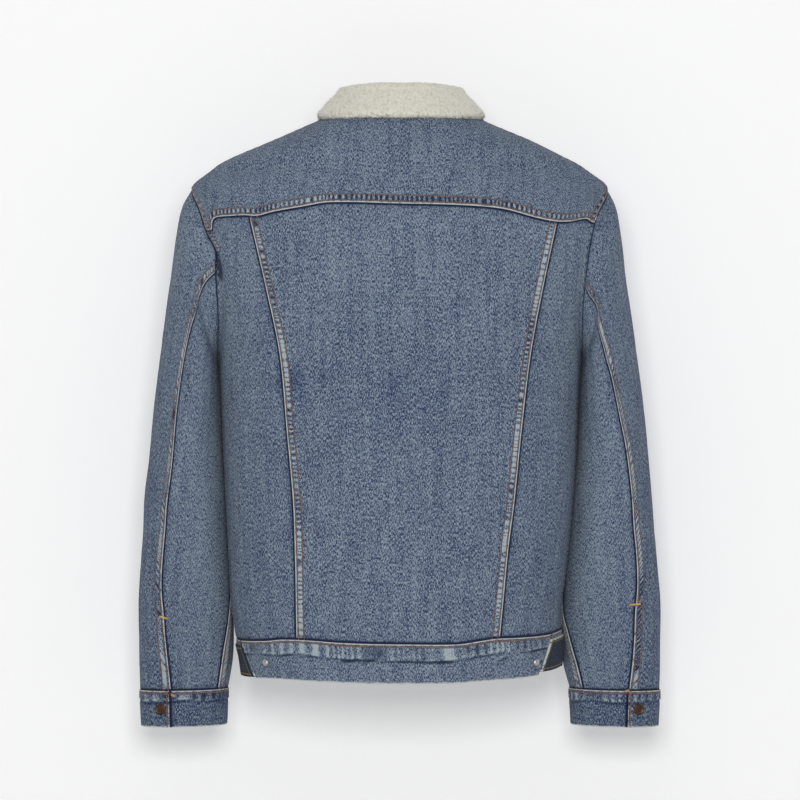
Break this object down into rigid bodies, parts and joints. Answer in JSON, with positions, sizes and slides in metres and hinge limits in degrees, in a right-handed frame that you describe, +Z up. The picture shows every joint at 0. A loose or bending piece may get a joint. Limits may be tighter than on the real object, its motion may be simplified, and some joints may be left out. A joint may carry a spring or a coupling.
{
  "type": "sherpa lined jacket",
  "caption": "Waist length trucker jacket in washed blue denim with a cream pile collar and lining, filled out as if worn, open at neck, cuffs and hem.",
  "frame": {"origin": "middle of the neck opening, level with the shoulder line where it meets the collar", "axes": "+Z up the body, +Y out of the front where the placket is, +X towards the wearer's right arm"},
  "size_m": [0.5933, 0.2822, 0.7226],
  "materials": {
    "denim": "washed mid-blue slub denim, matt, paler and browner along its worn seams",
    "sherpa": "cream tufted pile, fully matt",
    "copper_metal": "darkened copper, satin",
    "silver_metal": "nickel silver, satin"
  },
  "bodies": {
    "root": {"yoke_back": "denim", "back_centre": "denim", "back_side_left": "denim", "back_side_right": "denim", "front_left": "denim", "front_right": "denim", "front_placket": "denim", "collar": "sherpa", "sleeve_top_left": "denim", "sleeve_top_right": "denim", "sleeve_under_left": "denim", "sleeve_under_right": "denim", "cuff_left": "denim", "cuff_right": "denim", "waistband_back": "denim", "waistband_front_left": "denim", "waistband_front_right": "denim", "side_tab_left": "denim", "side_tab_right": "denim", "stud_left": "silver_metal", "stud_right": "silver_metal", "cuff_button_left": "copper_metal", "cuff_button_right": "copper_metal", "front_button_1": "copper_metal", "front_button_2": "copper_metal", "front_button_3": "copper_metal", "front_button_4": "copper_metal", "front_button_5": "copper_metal", "front_button_6": "copper_metal"}
  },
  "joints": []
}
